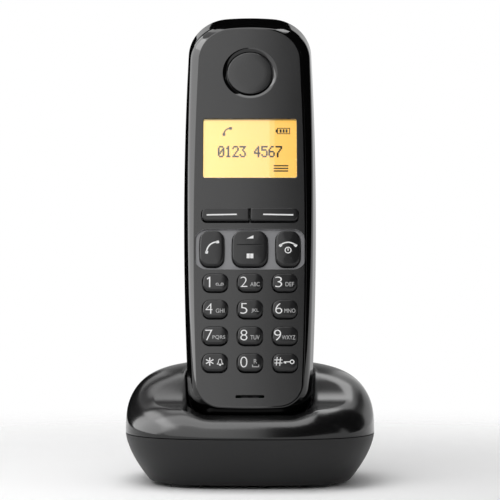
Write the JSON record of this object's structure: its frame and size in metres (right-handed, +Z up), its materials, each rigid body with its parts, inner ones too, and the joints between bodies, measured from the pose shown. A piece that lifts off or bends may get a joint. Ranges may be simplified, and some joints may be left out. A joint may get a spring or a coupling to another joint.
{
  "type": "cordless phone with base",
  "caption": "Cordless phone handset with display, keypad and rocker, leaning in the cradle of a domed charging base with rear sockets.",
  "frame": {"origin": "middle of the base's footprint, on the surface that its feet stand on", "axes": "+Z up, -Y out of the front of the base, +X to the viewer's right"},
  "size_m": [0.086, 0.0811, 0.1641],
  "materials": {
    "gloss_black": "high gloss",
    "satin_black": "fine satin",
    "face_plastic": "satin with a polished bevel",
    "key_plastic": "semi gloss, printed",
    "clear_window": "polished",
    "display_glass": "amber lit",
    "amber_guide": "translucent",
    "mat_rubber": "matte",
    "foot_rubber": "matte",
    "circuit_board": "solder mask",
    "tinned_steel": "tinned",
    "screw_steel": "zinc plated",
    "contact_metal": "nickel plated spring metal",
    "cell_can": null,
    "socket_plastic": "moulded"
  },
  "bodies": {
    "base": {"base_top_cover": "gloss_black", "base_bottom_cover": "satin_black", "base_pcb": "circuit_board", "base_shield_can": "tinned_steel", "charging_contacts": "contact_metal", "line_jack": "socket_plastic", "power_jack": "socket_plastic", "paging_switch": "socket_plastic", "rubber_feet": "foot_rubber", "base_screws": "screw_steel"},
    "handset": {"front_shell": "face_plastic", "rear_shell": "satin_black", "battery_cells": "cell_can", "battery_contacts": "contact_metal", "charge_pads": "contact_metal", "display_window": "clear_window", "lcd_panel": "display_glass", "backlight_guide": "amber_guide", "earpiece_cap": "face_plastic", "earpiece_speaker": "socket_plastic", "microphone": "mat_rubber", "ringer_speaker": "socket_plastic", "handset_pcb": "circuit_board", "handset_shield_can": "tinned_steel", "keypad_mat": "mat_rubber", "handset_screws": "screw_steel"},
    "battery_cover": {"battery_cover": "satin_black"},
    "paging_button": {"paging_button": "satin_black"},
    "navigation_key": {"navigation_key": "key_plastic"},
    "key_1": {"key_1": "key_plastic"},
    "key_2": {"key_2": "key_plastic"},
    "key_3": {"key_3": "key_plastic"},
    "key_4": {"key_4": "key_plastic"},
    "key_5": {"key_5": "key_plastic"},
    "key_6": {"key_6": "key_plastic"},
    "key_7": {"key_7": "key_plastic"},
    "key_8": {"key_8": "key_plastic"},
    "key_9": {"key_9": "key_plastic"},
    "key_star": {"key_star": "key_plastic"},
    "key_0": {"key_0": "key_plastic"},
    "key_hash": {"key_hash": "key_plastic"},
    "call_key": {"call_key": "key_plastic"},
    "end_key": {"end_key": "key_plastic"},
    "left_soft_key": {"left_soft_key": "key_plastic"},
    "right_soft_key": {"right_soft_key": "key_plastic"}
  },
  "joints": [
    {"name": "handset_lift", "type": "slide", "parent": "base", "child": "handset", "axis": [0, 0.342, 0.9397], "range_m": [0, 0.06]},
    {"name": "battery_cover_off", "type": "slide", "parent": "handset", "child": "battery_cover", "axis": [0, 0.9397, -0.342], "range_m": [0, 0.014]},
    {"name": "paging_press", "type": "slide", "parent": "base", "child": "paging_button", "axis": [0, -1, 0], "range_m": [0, 0.0008], "stiffness_N_per_m": 1500},
    {"name": "navigation_rock", "type": "hinge", "parent": "handset", "child": "navigation_key", "pos_m": [0, -0.00025, 0.07969], "axis": [1, 0, 0], "range_deg": [-2.5, 2.5], "stiffness_Nm_per_rad": 0.2},
    {"name": "key_1_press", "type": "slide", "parent": "handset", "child": "key_1", "axis": [0, 0.9397, -0.342], "range_m": [0, 0.0005], "stiffness_N_per_m": 2000},
    {"name": "key_2_press", "type": "slide", "parent": "handset", "child": "key_2", "axis": [0, 0.9397, -0.342], "range_m": [0, 0.0005], "stiffness_N_per_m": 2000},
    {"name": "key_3_press", "type": "slide", "parent": "handset", "child": "key_3", "axis": [0, 0.9397, -0.342], "range_m": [0, 0.0005], "stiffness_N_per_m": 2000},
    {"name": "key_4_press", "type": "slide", "parent": "handset", "child": "key_4", "axis": [0, 0.9397, -0.342], "range_m": [0, 0.0005], "stiffness_N_per_m": 2000},
    {"name": "key_5_press", "type": "slide", "parent": "handset", "child": "key_5", "axis": [0, 0.9397, -0.342], "range_m": [0, 0.0005], "stiffness_N_per_m": 2000},
    {"name": "key_6_press", "type": "slide", "parent": "handset", "child": "key_6", "axis": [0, 0.9397, -0.342], "range_m": [0, 0.0005], "stiffness_N_per_m": 2000},
    {"name": "key_7_press", "type": "slide", "parent": "handset", "child": "key_7", "axis": [0, 0.9397, -0.342], "range_m": [0, 0.0005], "stiffness_N_per_m": 2000},
    {"name": "key_8_press", "type": "slide", "parent": "handset", "child": "key_8", "axis": [0, 0.9397, -0.342], "range_m": [0, 0.0005], "stiffness_N_per_m": 2000},
    {"name": "key_9_press", "type": "slide", "parent": "handset", "child": "key_9", "axis": [0, 0.9397, -0.342], "range_m": [0, 0.0005], "stiffness_N_per_m": 2000},
    {"name": "key_star_press", "type": "slide", "parent": "handset", "child": "key_star", "axis": [0, 0.9397, -0.342], "range_m": [0, 0.0005], "stiffness_N_per_m": 2000},
    {"name": "key_0_press", "type": "slide", "parent": "handset", "child": "key_0", "axis": [0, 0.9397, -0.342], "range_m": [0, 0.0005], "stiffness_N_per_m": 2000},
    {"name": "key_hash_press", "type": "slide", "parent": "handset", "child": "key_hash", "axis": [0, 0.9397, -0.342], "range_m": [0, 0.0005], "stiffness_N_per_m": 2000},
    {"name": "call_key_press", "type": "slide", "parent": "handset", "child": "call_key", "axis": [0, 0.9397, -0.342], "range_m": [0, 0.0005], "stiffness_N_per_m": 2000},
    {"name": "end_key_press", "type": "slide", "parent": "handset", "child": "end_key", "axis": [0, 0.9397, -0.342], "range_m": [0, 0.0005], "stiffness_N_per_m": 2000},
    {"name": "left_soft_key_press", "type": "slide", "parent": "handset", "child": "left_soft_key", "axis": [0, 0.9397, -0.342], "range_m": [0, 0.0005], "stiffness_N_per_m": 2000},
    {"name": "right_soft_key_press", "type": "slide", "parent": "handset", "child": "right_soft_key", "axis": [0, 0.9397, -0.342], "range_m": [0, 0.0005], "stiffness_N_per_m": 2000}
  ]
}
